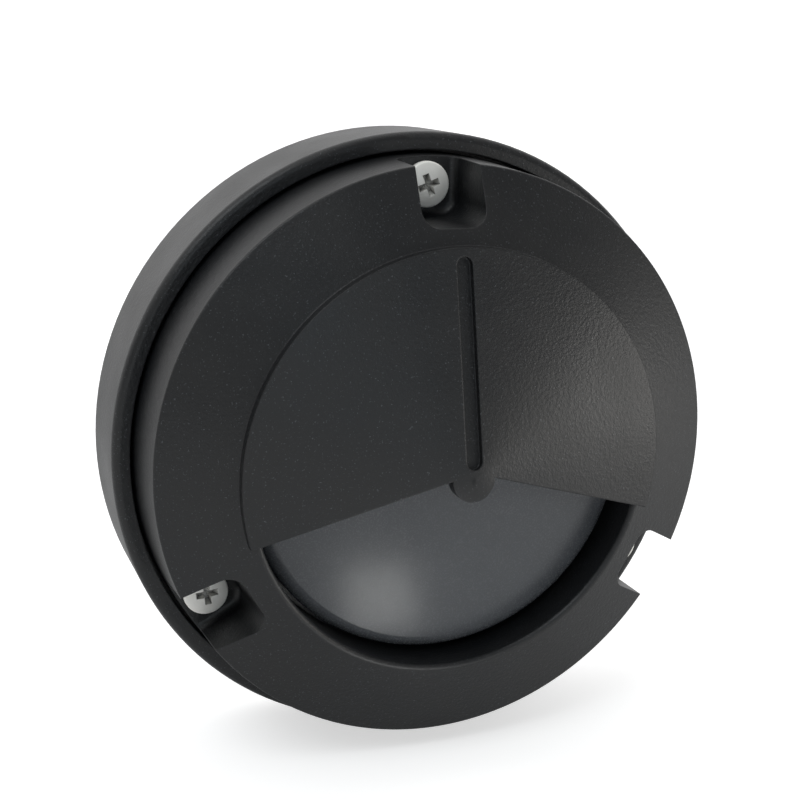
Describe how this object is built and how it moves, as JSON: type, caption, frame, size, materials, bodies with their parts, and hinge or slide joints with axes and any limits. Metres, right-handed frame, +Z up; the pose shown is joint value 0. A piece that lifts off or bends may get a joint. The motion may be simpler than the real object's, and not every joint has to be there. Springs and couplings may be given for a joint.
{
  "type": "step light",
  "caption": "Round surface wall light with a conical hooded cover that throws light down onto a step, frosted domed lens, and wall base with fixing holes and cable inlet.",
  "frame": {"origin": "centre of the base's back face, on the wall, midway between the two fixing holes", "axes": "+Z up, front faces -Y, +Y into the wall, +X to the right seen from the front"},
  "size_m": [0.1072, 0.0446, 0.1072],
  "materials": {
    "cast_black": "fine-textured black powder coat on die-cast aluminium",
    "stainless": "plain stainless steel, lightly dulled",
    "zinc_steel": "zinc-plated steel",
    "lens_frosted": "frosted polycarbonate, satin outside",
    "black_rubber": "matt black rubber",
    "silicone": "grey silicone",
    "white_reflector": "white moulding",
    "thermal_pad": "blue-grey thermal sheet",
    "board_white": "white solder resist on aluminium",
    "phosphor": "yellow phosphor",
    "chip_black": "black epoxy",
    "ceramic_tan": "tan ceramic",
    "block_white": "off-white polyamide",
    "brass": "turned brass",
    "tinned": "tin-plated brass",
    "brown_sleeve": "brown insulation",
    "blue_sleeve": "blue insulation",
    "earth_sleeve": "green and yellow insulation"
  },
  "bodies": {
    "root": {"base_housing": "cast_black", "wall_gasket": "black_rubber", "cable_grommet": "black_rubber", "cover_gasket": "black_rubber", "front_cover": "cast_black", "cover_screws": "stainless", "lens": "lens_frosted", "lens_gasket": "silicone", "lens_retainer": "zinc_steel", "retainer_screws": "zinc_steel", "gear_tray": "zinc_steel", "tray_screws": "zinc_steel", "reflector": "white_reflector", "thermal_pad": "thermal_pad", "led_board": "board_white", "board_screws": "zinc_steel", "led_emitters": "phosphor", "bridge_rectifier": "chip_black", "driver_chip": "chip_black", "smoothing_capacitor": "ceramic_tan", "sense_resistors": "chip_black", "terminal_block": "block_white", "terminal_barrels": "brass", "terminal_screws": "zinc_steel", "block_screws": "zinc_steel", "earth_screw": "zinc_steel", "earth_tag": "tinned", "lead_live": "brown_sleeve", "lead_neutral": "blue_sleeve", "lead_earth": "earth_sleeve"}
  },
  "joints": []
}
